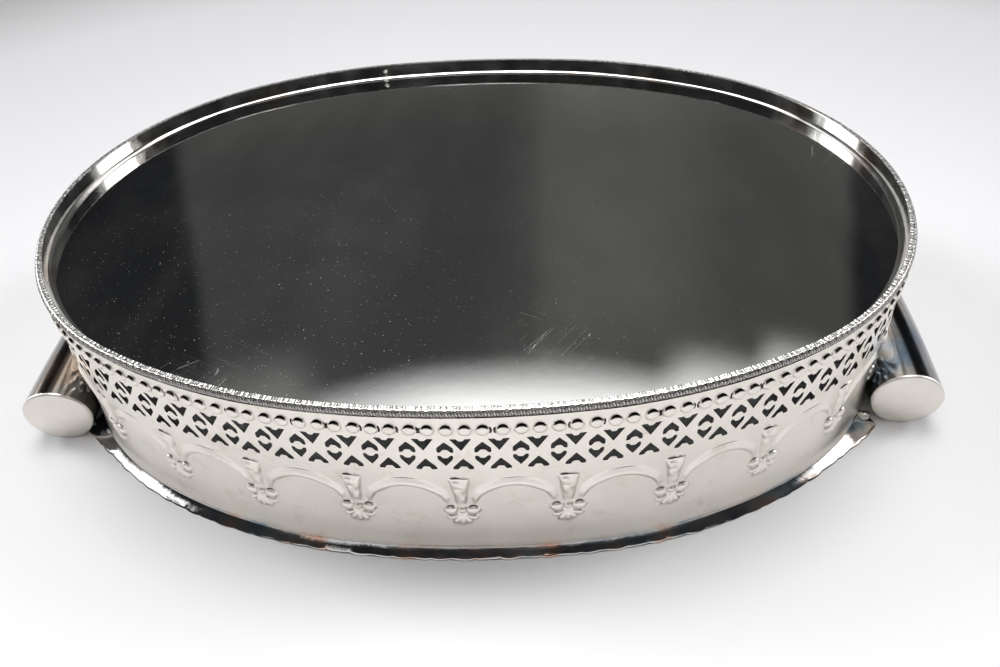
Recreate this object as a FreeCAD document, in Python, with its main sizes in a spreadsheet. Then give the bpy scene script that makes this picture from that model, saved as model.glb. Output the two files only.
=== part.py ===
import FreeCAD
import Part
import Sketcher
import math
import os
import re

# Oval vanity tray in silver plate. A flat plate is let into a pierced gallery that flares
# outward to a narrow border strip on the table. Millimetres, +Z up, +X along the tray.

doc = FreeCAD.newDocument("vanity_tray")

# Driving dimensions -------------------------------------------------------------------

SIZES = [
    # outline of the gallery's top edge: a long oval of three tangent arc radii
    ("half_length", 225.0),
    ("half_width", 162.8),
    ("end_radius", 147.0),
    ("shoulder_radius", 258.0),
    ("side_radius", 436.0),
    # gallery strip: flared sheet standing on the border
    ("wall_thick", 0.8),
    ("wall_top", 87.1),
    ("wall_foot", 2.0),
    ("wall_flare", 3.6),
    # bead moulding
    ("bead_level", 79.7),
    ("bead_half", 3.0),
    ("bead_rise", 1.2),
    # pierced lattice
    ("unit_pitch", 15.319),
    ("unit_shift", 4.75),
    ("lattice_top", 75.3),
    ("vee_point", 68.9),
    ("lambda_point", 62.9),
    ("lattice_base", 56.4),
    ("hole_half", 4.2),
    ("chevron_half", 3.0),
    ("pierce_depth", 14.0),
    # relief below the lattice
    ("relief_rise", 0.9),
    ("relief_shift", -2.47),
    ("swag_crown", 51.5),
    ("swag_inner", 46.0),
    ("swag_end", 35.5),
    ("swag_half", 17.0),
    ("pendant_top", 53.0),
    ("pendant_foot", 34.0),
    ("rosette_level", 30.2),
    ("rosette_radius", 5.6),
    # rim
    ("rope_radius", 2.5),
    ("rope_inset", 1.4),
    ("rope_level", 89.6),
    ("band_outset", 1.0),
    ("band_thick", 1.4),
    ("band_foot", 79.0),
    ("band_top", 86.9),
    ("plate_level", 82.9),
    ("plate_thick", 1.2),
    ("plate_gap", 0.05),
    # border strip
    ("border_inner", 2.2),
    ("border_outer", 9.2),
    ("border_thick", 0.9),
    ("border_end", 88.0),
    # handles: round tubes along the table, one at each end, gently bowed outward
    ("tube_radius", 16.9),
    ("tube_thick", 1.2),
    ("tube_half", 94.0),
    ("tube_bow", 5.0),
    ("cap_thick", 1.6),
    ("left_reach", 215.7),
    ("left_slide", -4.5),
    ("right_reach", 221.3),
    ("right_slide", 4.5),
    ("cope_depth", 45.0),
    ("cope_gap", 0.1),
]

sheet = doc.addObject("Spreadsheet::Sheet", "Sizes")
for row, (alias, number) in enumerate(SIZES, start=1):
    sheet.set(f"A{row}", alias)
    sheet.set(f"B{row}", str(number))
    sheet.setAlias(f"B{row}", alias)
doc.recompute()
NUMBERS = dict(SIZES)


def bound(text):
    """Turn each dimension's name in a formula into a reference to its cell."""
    return re.sub(r"[a-z_]+", lambda word: "Sizes." + word.group(), text)


def value(text):
    """Evaluate such a formula."""
    return float(sheet.evalExpression(bound(text)))


# Oval outline -------------------------------------------------------------------------


def oval_arcs():
    """Centre, radius and angles of the five arcs of the rear half, from +X round to -X."""
    end, shoulder, side = NUMBERS["end_radius"], NUMBERS["shoulder_radius"], NUMBERS["side_radius"]
    end_x = NUMBERS["half_length"] - end
    side_y = NUMBERS["half_width"] - side
    span = math.hypot(end_x, side_y)
    near, far = shoulder - end, side - shoulder
    along = (near**2 - far**2 + span**2) / (2 * span)
    across = math.sqrt(near**2 - along**2)
    ux, uy = -end_x / span, side_y / span
    corner_x = end_x + along * ux + across * uy
    corner_y = along * uy - across * ux
    turn_end = math.atan2(-corner_y, end_x - corner_x)
    turn_side = math.atan2(corner_y - side_y, corner_x)
    return [
        ((end_x, 0.0), end, 0.0, turn_end),
        ((corner_x, corner_y), shoulder, turn_end, turn_side),
        ((0.0, side_y), side, turn_side, math.pi - turn_side),
        ((-corner_x, corner_y), shoulder, math.pi - turn_side, math.pi - turn_end),
        ((-end_x, 0.0), end, math.pi - turn_end, math.pi),
    ]


ARCS = oval_arcs()
HALF_ROUND = sum(radius * (high - low) for _, radius, low, high in ARCS)


def stations(pitch, shift, before, after):
    """Per arc, the angles of points spaced evenly along the half oval's outline.

    They are counted from the middle of the half oval, moved on by shift, and keep
    clear of its ends by the lengths before and after.
    """
    found = []
    run = -HALF_ROUND / 2
    for _, radius, low, high in ARCS:
        length = radius * (high - low)
        first = math.ceil((max(run, before - HALF_ROUND / 2) - shift) / pitch)
        last = math.floor((min(run + length, HALF_ROUND / 2 - after) - shift) / pitch - 1e-9)
        angles = [low + (index * pitch + shift - run) / radius for index in range(first, last + 1)]
        found.append(angles)
        run += length
    return found


# Sketches -----------------------------------------------------------------------------


def new_body(label):
    body = doc.addObject("PartDesign::Body", label)
    body.Label = label
    return body


def new_sketch(body, role, name, offset=None):
    """A sketch flat on one of the body's own origin planes."""
    plane = next(item for item in body.Origin.OriginFeatures if item.Role == role)
    sketch = body.newObject("Sketcher::SketchObject", name)
    sketch.AttachmentSupport = [(plane, "")]
    sketch.MapMode = "FlatFace"
    if offset is not None:
        sketch.AttachmentOffset = offset
    return sketch


def pin_vertex(sketch, geometry, end, across, up):
    """Fix one vertex at coordinates given as formulas."""
    for kind, text in (("DistanceX", across), ("DistanceY", up)):
        number = sketch.addConstraint(Sketcher.Constraint(kind, -1, 1, geometry, end, value(text)))
        sketch.setExpression(f"Constraints[{number}]", bound(text))


def polygon(sketch, vertices):
    """A closed outline of straight edges through vertices given as formulas."""
    points = [FreeCAD.Vector(value(across), value(up), 0) for across, up in vertices]
    edges = []
    for start, finish in zip(points, points[1:] + points[:1]):
        edges.append(sketch.addGeometry(Part.LineSegment(start, finish)))
    for edge, after in zip(edges, edges[1:] + edges[:1]):
        sketch.addConstraint(Sketcher.Constraint("Coincident", edge, 2, after, 1))
    for edge, (across, up) in zip(edges, vertices):
        pin_vertex(sketch, edge, 1, across, up)


def circle(sketch, across, up, radius):
    """A circle whose centre and radius are formulas."""
    centre = FreeCAD.Vector(value(across), value(up), 0)
    ring = sketch.addGeometry(Part.Circle(centre, FreeCAD.Vector(0, 0, 1), value(radius)))
    pin_vertex(sketch, ring, 3, across, up)
    number = sketch.addConstraint(Sketcher.Constraint("Radius", ring, value(radius)))
    sketch.setExpression(f"Constraints[{number}]", bound(radius))


def half_oval(sketch, outset, closed=False):
    """The rear half of the oval outline, moved outward by a formula."""
    grow = value(outset)
    arcs = []
    for (across, up), radius, low, high in ARCS:
        ring = Part.Circle(FreeCAD.Vector(across, up, 0), FreeCAD.Vector(0, 0, 1), radius + grow)
        arcs.append(sketch.addGeometry(Part.ArcOfCircle(ring, low, high)))
    for arc, after in zip(arcs, arcs[1:]):
        sketch.addConstraint(Sketcher.Constraint("Tangent", arc, 2, after, 1))
    for arc in (arcs[0], arcs[4]):
        sketch.addConstraint(Sketcher.Constraint("PointOnObject", arc, 3, -1))
    sketch.addConstraint(Sketcher.Constraint("PointOnObject", arcs[2], 3, -2))
    sketch.addConstraint(Sketcher.Constraint("PointOnObject", arcs[0], 1, -1))
    sketch.addConstraint(Sketcher.Constraint("PointOnObject", arcs[4], 2, -1))
    sketch.addConstraint(Sketcher.Constraint("Equal", arcs[0], arcs[4]))
    sketch.addConstraint(Sketcher.Constraint("Equal", arcs[1], arcs[3]))
    for arc, name in ((arcs[0], "end_radius"), (arcs[1], "shoulder_radius"), (arcs[2], "side_radius")):
        text = f"{name} + {outset}"
        number = sketch.addConstraint(Sketcher.Constraint("Radius", arc, value(text)))
        sketch.setExpression(f"Constraints[{number}]", bound(text))
    centres = (
        ("DistanceX", arcs[0], "half_length - end_radius"),
        ("DistanceX", arcs[4], "end_radius - half_length"),
        ("DistanceY", arcs[2], "half_width - side_radius"),
    )
    for kind, arc, text in centres:
        number = sketch.addConstraint(Sketcher.Constraint(kind, -1, 1, arc, 3, value(text)))
        sketch.setExpression(f"Constraints[{number}]", bound(text))
    if closed:
        reach = value(f"half_length + {outset}")
        left, right = FreeCAD.Vector(-reach, 0, 0), FreeCAD.Vector(reach, 0, 0)
        chord = sketch.addGeometry(Part.LineSegment(left, right))
        sketch.addConstraint(Sketcher.Constraint("Coincident", arcs[4], 2, chord, 1))
        sketch.addConstraint(Sketcher.Constraint("Coincident", chord, 2, arcs[0], 1))


# Features -----------------------------------------------------------------------------


def sweep_half(body, draw_section):
    """Carry a section, drawn at the +X end, round the rear half of the oval."""
    path = new_sketch(body, "XY_Plane", body.Name + "_path")
    half_oval(path, "0")
    section = new_sketch(body, "XZ_Plane", body.Name + "_section")
    draw_section(section)
    doc.recompute()
    pipe = body.newObject("PartDesign::AdditivePipe", body.Name + "_sweep")
    pipe.Profile = section
    pipe.Spine = path
    pipe.Mode = "Frenet"
    body.Tip = pipe
    doc.recompute()
    return pipe


def mirror_front(body, feature):
    """Complete a half into the whole oval."""
    plane = next(item for item in body.Origin.OriginFeatures if item.Role == "XZ_Plane")
    mirrored = body.newObject("PartDesign::Mirrored", body.Name + "_mirrored")
    mirrored.Originals = [feature]
    mirrored.MirrorPlane = (plane, [""])
    body.Tip = mirrored
    doc.recompute()


def cut_round(body, name, outset, angles_by_arc, draw_cutter):
    """Cut one opening at every station, as a polar pattern about each arc's centre."""
    for index, ((centre, radius, _, _), angles) in enumerate(zip(ARCS, angles_by_arc)):
        if not angles:
            continue
        across = centre[0] + (radius + outset) * math.cos(angles[0])
        back = centre[1] + (radius + outset) * math.sin(angles[0])
        facing = FreeCAD.Rotation(FreeCAD.Vector(0, 1, 0), math.degrees(angles[0]) + 90)
        offset = FreeCAD.Placement(FreeCAD.Vector(across, 0, -back), facing)
        cutter = new_sketch(body, "XZ_Plane", f"{name}_{index}", offset)
        draw_cutter(cutter)
        pivot_at = FreeCAD.Placement(FreeCAD.Vector(centre[0], centre[1], 0), FreeCAD.Rotation())
        pivot = new_sketch(body, "XY_Plane", f"{name}_pivot_{index}", pivot_at)
        doc.recompute()
        pocket = body.newObject("PartDesign::Pocket", f"{name}_cut_{index}")
        pocket.Profile = cutter
        pocket.Midplane = True
        pocket.setExpression("Length", bound("pierce_depth"))
        body.Tip = pocket
        doc.recompute()
        if len(angles) > 1:
            pattern = body.newObject("PartDesign::PolarPattern", f"{name}_round_{index}")
            pattern.Originals = [pocket]
            pattern.Axis = (pivot, ["N_Axis"])
            pattern.Angle = math.degrees(angles[-1] - angles[0])
            pattern.Occurrences = len(angles)
            body.Tip = pattern
            doc.recompute()


# Gallery ------------------------------------------------------------------------------

FLARE = "wall_flare * (wall_top - {z}) / (wall_top - wall_foot)"


def wall_at(height, extra="0"):
    """Sketch coordinates on the wall's outer face at a height."""
    return "half_length + " + FLARE.format(z=f"({height})") + f" + {extra}", height


def gallery_section(section):
    """Flared sheet with a half-round bead moulding near its top."""
    polygon(
        section,
        [
            ("half_length + wall_flare - wall_thick", "wall_foot"),
            ("half_length + wall_flare", "wall_foot"),
            wall_at("bead_level - bead_half"),
            wall_at("bead_level - bead_half / 2", "bead_rise * 0.85"),
            wall_at("bead_level", "bead_rise"),
            wall_at("bead_level + bead_half / 2", "bead_rise * 0.85"),
            wall_at("bead_level + bead_half"),
            ("half_length", "wall_top"),
            ("half_length - wall_thick", "wall_top"),
        ],
    )


def unit_holes(cutter):
    """One unit of the lattice.

    At the crossing of the straps, a V above and an arrow below; half a unit on, two
    chevrons either side of an eye-shaped bridge.
    """
    polygon(
        cutter,
        [
            ("0 - hole_half", "lattice_top"),
            ("0 - 0.35", "vee_point"),
            ("0.35", "vee_point"),
            ("hole_half", "lattice_top"),
            ("1.3", "lattice_top"),
            ("0", "lattice_top - 1.4"),
            ("0 - 1.3", "lattice_top"),
        ],
    )
    polygon(
        cutter,
        [
            ("0 - hole_half", "lattice_base"),
            ("0 - 1.8", "lattice_base"),
            ("0", "lattice_base + 1.9"),
            ("1.8", "lattice_base"),
            ("hole_half", "lattice_base"),
            ("0.35", "lambda_point"),
            ("0 - 0.35", "lambda_point"),
        ],
    )
    middle = "unit_pitch / 2"
    polygon(
        cutter,
        [
            (middle + " - chevron_half", "lattice_top - 8.4"),
            (middle, "lattice_top - 6.4"),
            (middle + " + chevron_half", "lattice_top - 8.4"),
            (middle + " + chevron_half", "lattice_top - 6.3"),
            (middle, "lattice_top - 2.7"),
            (middle + " - chevron_half", "lattice_top - 6.3"),
        ],
    )
    polygon(
        cutter,
        [
            (middle + " - chevron_half", "lattice_base + 8.1"),
            (middle + " - chevron_half", "lattice_base + 6.3"),
            (middle, "lattice_base + 2.4"),
            (middle + " + chevron_half", "lattice_base + 6.3"),
            (middle + " + chevron_half", "lattice_base + 8.1"),
            (middle, "lattice_base + 6.4"),
        ],
    )


def swag_outline(sketch):
    """Tapered arch of one swag, crown upward."""
    polygon(
        sketch,
        [
            ("0 - swag_half", "swag_end"),
            ("0 - swag_half * 0.93", "swag_end + 4.5"),
            ("0 - swag_half * 0.72", "swag_crown - 4.4"),
            ("0 - swag_half * 0.4", "swag_crown - 1.3"),
            ("0", "swag_crown"),
            ("swag_half * 0.4", "swag_crown - 1.3"),
            ("swag_half * 0.72", "swag_crown - 4.4"),
            ("swag_half * 0.93", "swag_end + 4.5"),
            ("swag_half", "swag_end"),
            ("swag_half * 0.66", "swag_inner - 4.6"),
            ("swag_half * 0.36", "swag_inner - 1.3"),
            ("0", "swag_inner"),
            ("0 - swag_half * 0.36", "swag_inner - 1.3"),
            ("0 - swag_half * 0.66", "swag_inner - 4.6"),
        ],
    )


def pendant_outline(sketch):
    """Bellflower between two swags."""
    polygon(
        sketch,
        [
            ("0 - 4.0", "pendant_top"),
            ("0 - 1.8", "pendant_foot"),
            ("1.8", "pendant_foot"),
            ("4.0", "pendant_top"),
        ],
    )


def rosette_outline(sketch):
    """Round flower below the bellflower."""
    circle(sketch, "0", "rosette_level", "rosette_radius")


def make_die(name, draw_outline):
    """A bar with one ornament's outline, reaching through the relief along Y."""
    sketch = doc.addObject("Sketcher::SketchObject", name + "_outline")
    sketch.Placement = FreeCAD.Placement(FreeCAD.Vector(), FreeCAD.Rotation(FreeCAD.Vector(1, 0, 0), 90))
    draw_outline(sketch)
    doc.recompute()
    die = doc.addObject("Part::Extrusion", name)
    die.Base = sketch
    die.DirMode = "Custom"
    die.Dir = FreeCAD.Vector(0, 1, 0)
    die.Symmetric = True
    die.Solid = True
    die.setExpression("LengthFwd", bound("pierce_depth"))
    return die


def place_round(name, dies, outset, angles_by_arc):
    """The dies set out facing outward at every station."""
    placed = []
    for (centre, radius, _, _), angles in zip(ARCS, angles_by_arc):
        for angle in angles:
            spot = doc.addObject("Part::Compound", f"{name}_{len(placed)}")
            spot.Links = dies
            across = centre[0] + (radius + outset) * math.cos(angle)
            back = centre[1] + (radius + outset) * math.sin(angle)
            facing = FreeCAD.Rotation(FreeCAD.Vector(0, 0, 1), math.degrees(angle) + 90)
            spot.Placement = FreeCAD.Placement(FreeCAD.Vector(across, back, 0), facing)
            placed.append(spot)
    return placed


def relief_section(section):
    """Sheet thickness proud of the wall, from which the ornaments are cut."""
    polygon(
        section,
        [
            wall_at("rosette_level - 8", "0 - wall_thick / 2"),
            wall_at("rosette_level - 8", "relief_rise"),
            wall_at("pendant_top + 1", "relief_rise"),
            wall_at("pendant_top + 1", "0 - wall_thick / 2"),
        ],
    )


def turned_copy(label, source):
    """The same piece turned half round about the tray's upright axis."""
    copy = doc.addObject("Part::Compound", label)
    copy.Label = label
    copy.Links = [source]
    copy.Placement = FreeCAD.Placement(FreeCAD.Vector(), FreeCAD.Rotation(FreeCAD.Vector(0, 0, 1), 180))
    return copy


strip = new_body("gallery_strip")
sweep_half(strip, gallery_section)
lattice_outset = value("wall_flare * (wall_top - 66) / (wall_top - wall_foot)")
pitch, shift = NUMBERS["unit_pitch"], NUMBERS["unit_shift"]
cut_round(strip, "lattice", lattice_outset, stations(pitch, shift, 7.0, 14.0), unit_holes)

relief = new_body("relief_sheet")
sweep_half(relief, relief_section)
relief_outset = value("wall_flare * (wall_top - 40) / (wall_top - wall_foot)")
drop = shift + NUMBERS["relief_shift"]
flower = [make_die("pendant_die", pendant_outline), make_die("rosette_die", rosette_outline)]
swag = [make_die("swag_die", swag_outline)]
doc.recompute()
dies = place_round("flower_at", flower, relief_outset, stations(3 * pitch, drop, 12.0, 12.0))
dies += place_round("swag_at", swag, relief_outset, stations(3 * pitch, drop + 1.5 * pitch, 20.0, 20.0))
ornament_tool = doc.addObject("Part::Compound", "ornament_tool")
ornament_tool.Links = dies
ornaments = doc.addObject("Part::Common", "ornaments")
ornaments.Base = relief
ornaments.Tool = ornament_tool
gallery_rear = doc.addObject("Part::Fuse", "gallery_rear")
gallery_rear.Base = strip
gallery_rear.Tool = ornaments
doc.recompute()
gallery_front = turned_copy("gallery_front", gallery_rear)
doc.recompute()

# Rim and plate ------------------------------------------------------------------------


def rope_section(section):
    circle(section, "half_length - rope_inset", "rope_level", "rope_radius")


def band_section(section):
    outer, inner = "half_length - band_outset", "half_length - band_outset - band_thick"
    polygon(
        section,
        [(inner, "band_foot"), (outer, "band_foot"), (outer, "band_top"), (inner, "band_top")],
    )


rope_border = new_body("rope_border")
mirror_front(rope_border, sweep_half(rope_border, rope_section))

rim_band = new_body("rim_band")
mirror_front(rim_band, sweep_half(rim_band, band_section))

base_plate = new_body("base_plate")
plate_sketch = new_sketch(base_plate, "XY_Plane", "plate_outline")
plate_sketch.setExpression("AttachmentOffset.Base.z", bound("plate_level - plate_thick"))
half_oval(plate_sketch, "(0 - band_outset - band_thick - plate_gap)", closed=True)
doc.recompute()
plate_pad = base_plate.newObject("PartDesign::Pad", "plate_pad")
plate_pad.Profile = plate_sketch
plate_pad.setExpression("Length", bound("plate_thick"))
doc.recompute()
mirror_front(base_plate, plate_pad)

# Border strips ------------------------------------------------------------------------


def border_section(section):
    """Thin strip that falls outward to a turned-down lip on the table."""
    polygon(
        section,
        [
            ("half_length + border_inner", "wall_foot - border_thick"),
            ("half_length + border_outer - 1.4", "0.5"),
            ("half_length + border_outer - 1.0", "0"),
            ("half_length + border_outer - 0.2", "0"),
            ("half_length + border_outer", "0.8"),
            ("half_length + border_outer - 0.8", "0.6 + border_thick"),
            ("half_length + border_inner", "wall_foot"),
        ],
    )


def make_border(label):
    """One strip, stopped short of the handles at both ends."""
    body = new_body(label)
    sweep_half(body, border_section)
    trim = new_sketch(body, "XY_Plane", label + "_trim")
    reach = "half_length + border_outer + 5"
    polygon(
        trim,
        [
            ("0 - (" + reach + ")", "0 - 5"),
            (reach, "0 - 5"),
            (reach, "border_end"),
            ("0 - (" + reach + ")", "border_end"),
        ],
    )
    doc.recompute()
    pocket = body.newObject("PartDesign::Pocket", label + "_ends")
    pocket.Profile = trim
    pocket.Midplane = True
    pocket.Length = 20
    body.Tip = pocket
    doc.recompute()
    return body


border_rear = make_border("border_rear")
border_front = turned_copy("border_front", border_rear)

# Handles ------------------------------------------------------------------------------


def cope_section(section):
    """Solid zone inside the wall's outer face, which trims the handle tubes."""
    polygon(
        section,
        [
            ("half_length + wall_flare + cope_gap", "0 - 3"),
            wall_at("wall_top - 20", "cope_gap"),
            ("half_length - cope_depth", "wall_top - 20"),
            ("half_length - cope_depth", "0 - 3"),
        ],
    )


cope = new_body("cope_tool")
mirror_front(cope, sweep_half(cope, cope_section))


def cut(label, base, tool):
    result = doc.addObject("Part::Cut", label)
    result.Label = label
    result.Base = base
    result.Tool = tool
    return result


BOW_RADIUS = "(tube_half ^ 2 + tube_bow ^ 2) / (2 * tube_bow)"
BOW_ANGLE = math.degrees(math.asin(NUMBERS["tube_half"] / value(BOW_RADIUS)))


def make_tube(name):
    """Hollow round tube along Y, bowed toward +X, its middle on the Z axis."""
    body = new_body(name)
    section = new_sketch(body, "XZ_Plane", name + "_section")
    section.setExpression("AttachmentOffset.Base.x", bound("0 - " + BOW_RADIUS))
    circle(section, BOW_RADIUS, "tube_radius", "tube_radius")
    circle(section, BOW_RADIUS, "tube_radius", "tube_radius - tube_thick")
    doc.recompute()
    sweep = body.newObject("PartDesign::Revolution", name + "_bow")
    sweep.Profile = section
    sweep.ReferenceAxis = (section, ["V_Axis"])
    sweep.Midplane = True
    sweep.Angle = 2 * BOW_ANGLE
    body.Tip = sweep
    doc.recompute()
    return body


def make_cap(name):
    """Flat disc that closes a tube, its inner face on the XZ plane."""
    body = new_body(name)
    outline = new_sketch(body, "XZ_Plane", name + "_outline")
    circle(outline, "0", "tube_radius", "tube_radius")
    doc.recompute()
    pad = body.newObject("PartDesign::Pad", name + "_pad")
    pad.Profile = outline
    pad.setExpression("Length", bound("cap_thick"))
    doc.recompute()
    return body


# each handle is built along +X and turned half round for the left end
SIDES = {"left": 180, "right": 0}

handle_parts = []
for word, turn in SIDES.items():
    way = math.cos(math.radians(turn))
    facing = FreeCAD.Rotation(FreeCAD.Vector(0, 0, 1), turn)
    reach = NUMBERS[word + "_reach"] + NUMBERS["tube_bow"]
    spot = FreeCAD.Vector(way * reach, NUMBERS[word + "_slide"], 0)
    tube = make_tube("tube_" + word)
    tube.Placement = FreeCAD.Placement(spot, facing)
    handle_parts.append(cut("handle_tube_" + word, tube, cope))
    for place, end in (("front", -1), ("rear", 1)):
        cap = make_cap(f"handle_cap_{word}_{place}")
        tilt = FreeCAD.Rotation(FreeCAD.Vector(0, 0, 1), end * way * BOW_ANGLE)
        flip = FreeCAD.Rotation(FreeCAD.Vector(0, 0, 1), 180 if end > 0 else 0)
        at = FreeCAD.Vector(
            way * NUMBERS[word + "_reach"],
            NUMBERS[word + "_slide"] + end * NUMBERS["tube_half"],
            0,
        )
        cap.Placement = FreeCAD.Placement(at, tilt.multiply(flip))
        handle_parts.append(cap)

doc.recompute()

# Output -------------------------------------------------------------------------------

pieces = [
    base_plate,
    rim_band,
    rope_border,
    gallery_front,
    gallery_rear,
    border_front,
    border_rear,
] + handle_parts

for item in doc.Objects:
    if "Invalid" in item.State or "Error" in item.State:
        raise RuntimeError(f"{item.Name} failed: {item.State}")
for piece in pieces:
    if piece.Shape.isNull() or not piece.Shape.isValid():
        raise RuntimeError(f"{piece.Label} has no valid shape")

os.makedirs("parts", exist_ok=True)
for piece in pieces:
    piece.Shape.exportStep(f"parts/{piece.Label}.step")
    box = piece.Shape.BoundBox
    print(f"{piece.Label}: {piece.Shape.Volume:.0f} mm3, {len(piece.Shape.Solids)} solid, "
          f"x {box.XMin:.1f}..{box.XMax:.1f} y {box.YMin:.1f}..{box.YMax:.1f} z {box.ZMin:.1f}..{box.ZMax:.1f}")
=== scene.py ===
import math

import bmesh
import bpy
import numpy as np
from mathutils import Matrix, Vector
from mathutils.geometry import delaunay_2d_cdt


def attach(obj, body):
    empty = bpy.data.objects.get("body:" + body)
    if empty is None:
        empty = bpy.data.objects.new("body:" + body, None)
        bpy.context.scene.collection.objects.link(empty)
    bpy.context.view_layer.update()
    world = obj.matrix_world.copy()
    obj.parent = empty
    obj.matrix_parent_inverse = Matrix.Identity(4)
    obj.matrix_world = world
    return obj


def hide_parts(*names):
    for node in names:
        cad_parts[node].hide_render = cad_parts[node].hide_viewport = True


# Oval silver-plate vanity tray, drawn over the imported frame. Lengths below are in
# millimetres and turned to metres when a mesh is made.

MM = 0.001

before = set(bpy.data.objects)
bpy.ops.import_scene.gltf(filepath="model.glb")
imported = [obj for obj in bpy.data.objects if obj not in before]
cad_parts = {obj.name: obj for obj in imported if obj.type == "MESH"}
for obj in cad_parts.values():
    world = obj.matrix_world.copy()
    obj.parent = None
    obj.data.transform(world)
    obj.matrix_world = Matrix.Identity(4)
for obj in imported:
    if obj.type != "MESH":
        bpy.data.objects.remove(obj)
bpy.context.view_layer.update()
scene = bpy.context.scene

# ---------------------------------------------------------------- outline

HALF_LENGTH, HALF_WIDTH = 225.0, 162.8
END_R, SHOULDER_R, SIDE_R = 147.0, 258.0, 436.0


def oval_arcs():
    """The outline's eight arcs, counter-clockwise from +X, where one arc is split in two.

    Each row holds the arc's centre, radius, and first and last angle.
    """
    end_x, side_y = HALF_LENGTH - END_R, HALF_WIDTH - SIDE_R
    span = math.hypot(end_x, side_y)
    near, far = SHOULDER_R - END_R, SIDE_R - SHOULDER_R
    along = (near**2 - far**2 + span**2) / (2 * span)
    across = math.sqrt(near**2 - along**2)
    ux, uy = -end_x / span, side_y / span
    kx, ky = end_x + along * ux + across * uy, along * uy - across * ux
    a = math.atan2(-ky, end_x - kx)
    b = math.atan2(ky - side_y, kx)
    pi = math.pi
    return [
        (end_x, 0, END_R, 0, a),
        (kx, ky, SHOULDER_R, a, b),
        (0, side_y, SIDE_R, b, pi - b),
        (-kx, ky, SHOULDER_R, pi - b, pi - a),
        (-end_x, 0, END_R, pi - a, pi + a),
        (-kx, -ky, SHOULDER_R, pi + a, pi + b),
        (0, -side_y, SIDE_R, pi + b, 2 * pi - b),
        (kx, -ky, SHOULDER_R, 2 * pi - b, 2 * pi - a),
        (end_x, 0, END_R, 2 * pi - a, 2 * pi),
    ]


ARCS = np.array(oval_arcs())
RUNS = np.concatenate([[0], np.cumsum(ARCS[:, 2] * (ARCS[:, 4] - ARCS[:, 3]))])
ROUND = RUNS[-1]


def oval(s):
    """Points on the outline and outward normals, for lengths s run from +X."""
    s = np.mod(s, ROUND)
    i = np.clip(np.searchsorted(RUNS, s, side="right") - 1, 0, len(ARCS) - 1)
    cx, cy, r, a0 = ARCS[i, 0], ARCS[i, 1], ARCS[i, 2], ARCS[i, 3]
    t = a0 + (s - RUNS[i]) / r
    n = np.column_stack([np.cos(t), np.sin(t)])
    return np.column_stack([cx, cy]) + n * r[:, None], n


def bend(s, out, z):
    """Outline length, outward offset and height to a point."""
    p, n = oval(s)
    return np.column_stack([p + n * np.asarray(out)[:, None], z])


def wobble(x, y, seed=0.0):
    """Smooth, low, repeatable unevenness between -1 and 1."""
    return (
        np.sin(x + 3.1 * seed + 1.7 * np.sin(y * 0.73 + seed))
        + 0.6 * np.sin(x * 2.3 - y * 1.1 + 5.0 * seed)
        + 0.4 * np.sin(x * 4.9 + y * 2.7 + 2.0 * seed)
    ) / 2.0


# ---------------------------------------------------------------- mesh helpers


def add_mesh(name, verts_mm, faces, material, sharp):
    """One drawn piece, which takes the place of the node of the same name."""
    mesh = bpy.data.meshes.new(name)
    mesh.from_pydata((np.asarray(verts_mm) * MM).tolist(), [], faces)
    mesh.validate()
    mesh.update()
    obj = bpy.data.objects.new(name, mesh)
    scene.collection.objects.link(obj)
    mesh.shade_smooth()
    if sharp is not None:
        mesh.set_sharp_from_angle(angle=math.radians(sharp))
    mesh.materials.append(material)
    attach(obj, "root")
    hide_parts(name)
    return obj


def turn_outward(obj):
    """Make every face of a closed piece look outward."""
    faces = bmesh.new()
    faces.from_mesh(obj.data)
    bmesh.ops.recalc_face_normals(faces, faces=faces.faces[:])
    faces.to_mesh(obj.data)
    faces.free()


def swept_ring(name, s_count, profile, material, sharp):
    """A closed ring: profile(s) gives arrays of offsets and heights, one row per s."""
    s = np.linspace(0, ROUND, s_count, endpoint=False)
    out, z = profile(s)
    k = out.shape[1]
    verts = bend(np.repeat(s, k), out.ravel(), z.ravel())
    i = np.arange(s_count)[:, None] * k + np.arange(k)
    j = np.roll(i, -1, axis=0)
    quads = np.stack([i, j, np.roll(j, -1, axis=1), np.roll(i, -1, axis=1)], axis=-1)
    add_mesh(name, verts, quads.reshape(-1, 4)[:, ::-1].tolist(), material, sharp)


def swept_strip(name, s, profile, material, sharp):
    """An open run of the same, its two ends closed."""
    out, z = profile(s)
    k = out.shape[1]
    verts = bend(np.repeat(s, k), out.ravel(), z.ravel())
    i = np.arange(len(s) - 1)[:, None] * k + np.arange(k)
    quads = np.stack([i, i + k, np.roll(i, -1, axis=1) + k, np.roll(i, -1, axis=1)], axis=-1)
    faces = quads.reshape(-1, 4)[:, ::-1].tolist()
    faces.append(list(range(k)))
    faces.append(list(range((len(s) - 1) * k, len(s) * k))[::-1])
    add_mesh(name, verts, faces, material, sharp)


# ---------------------------------------------------------------- materials


def material(name):
    """A metal to start from: the material, its node tree and its shader."""
    m = bpy.data.materials.new(name)
    m.use_nodes = True
    t = m.node_tree
    t.nodes.clear()
    out = t.nodes.new("ShaderNodeOutputMaterial")
    bsdf = t.nodes.new("ShaderNodeBsdfPrincipled")
    bsdf.inputs["Metallic"].default_value = 1.0
    t.links.new(bsdf.outputs[0], out.inputs[0])
    return m, t, bsdf


def node(tree, kind, inputs=None, **settings):
    """A new node with its settings, and its inputs linked or set."""
    n = tree.nodes.new(kind)
    for key, value in settings.items():
        setattr(n, key, value)
    for key, value in (inputs or {}).items():
        if isinstance(value, bpy.types.NodeSocket):
            tree.links.new(value, n.inputs[key])
        else:
            n.inputs[key].default_value = value
    return n


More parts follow.
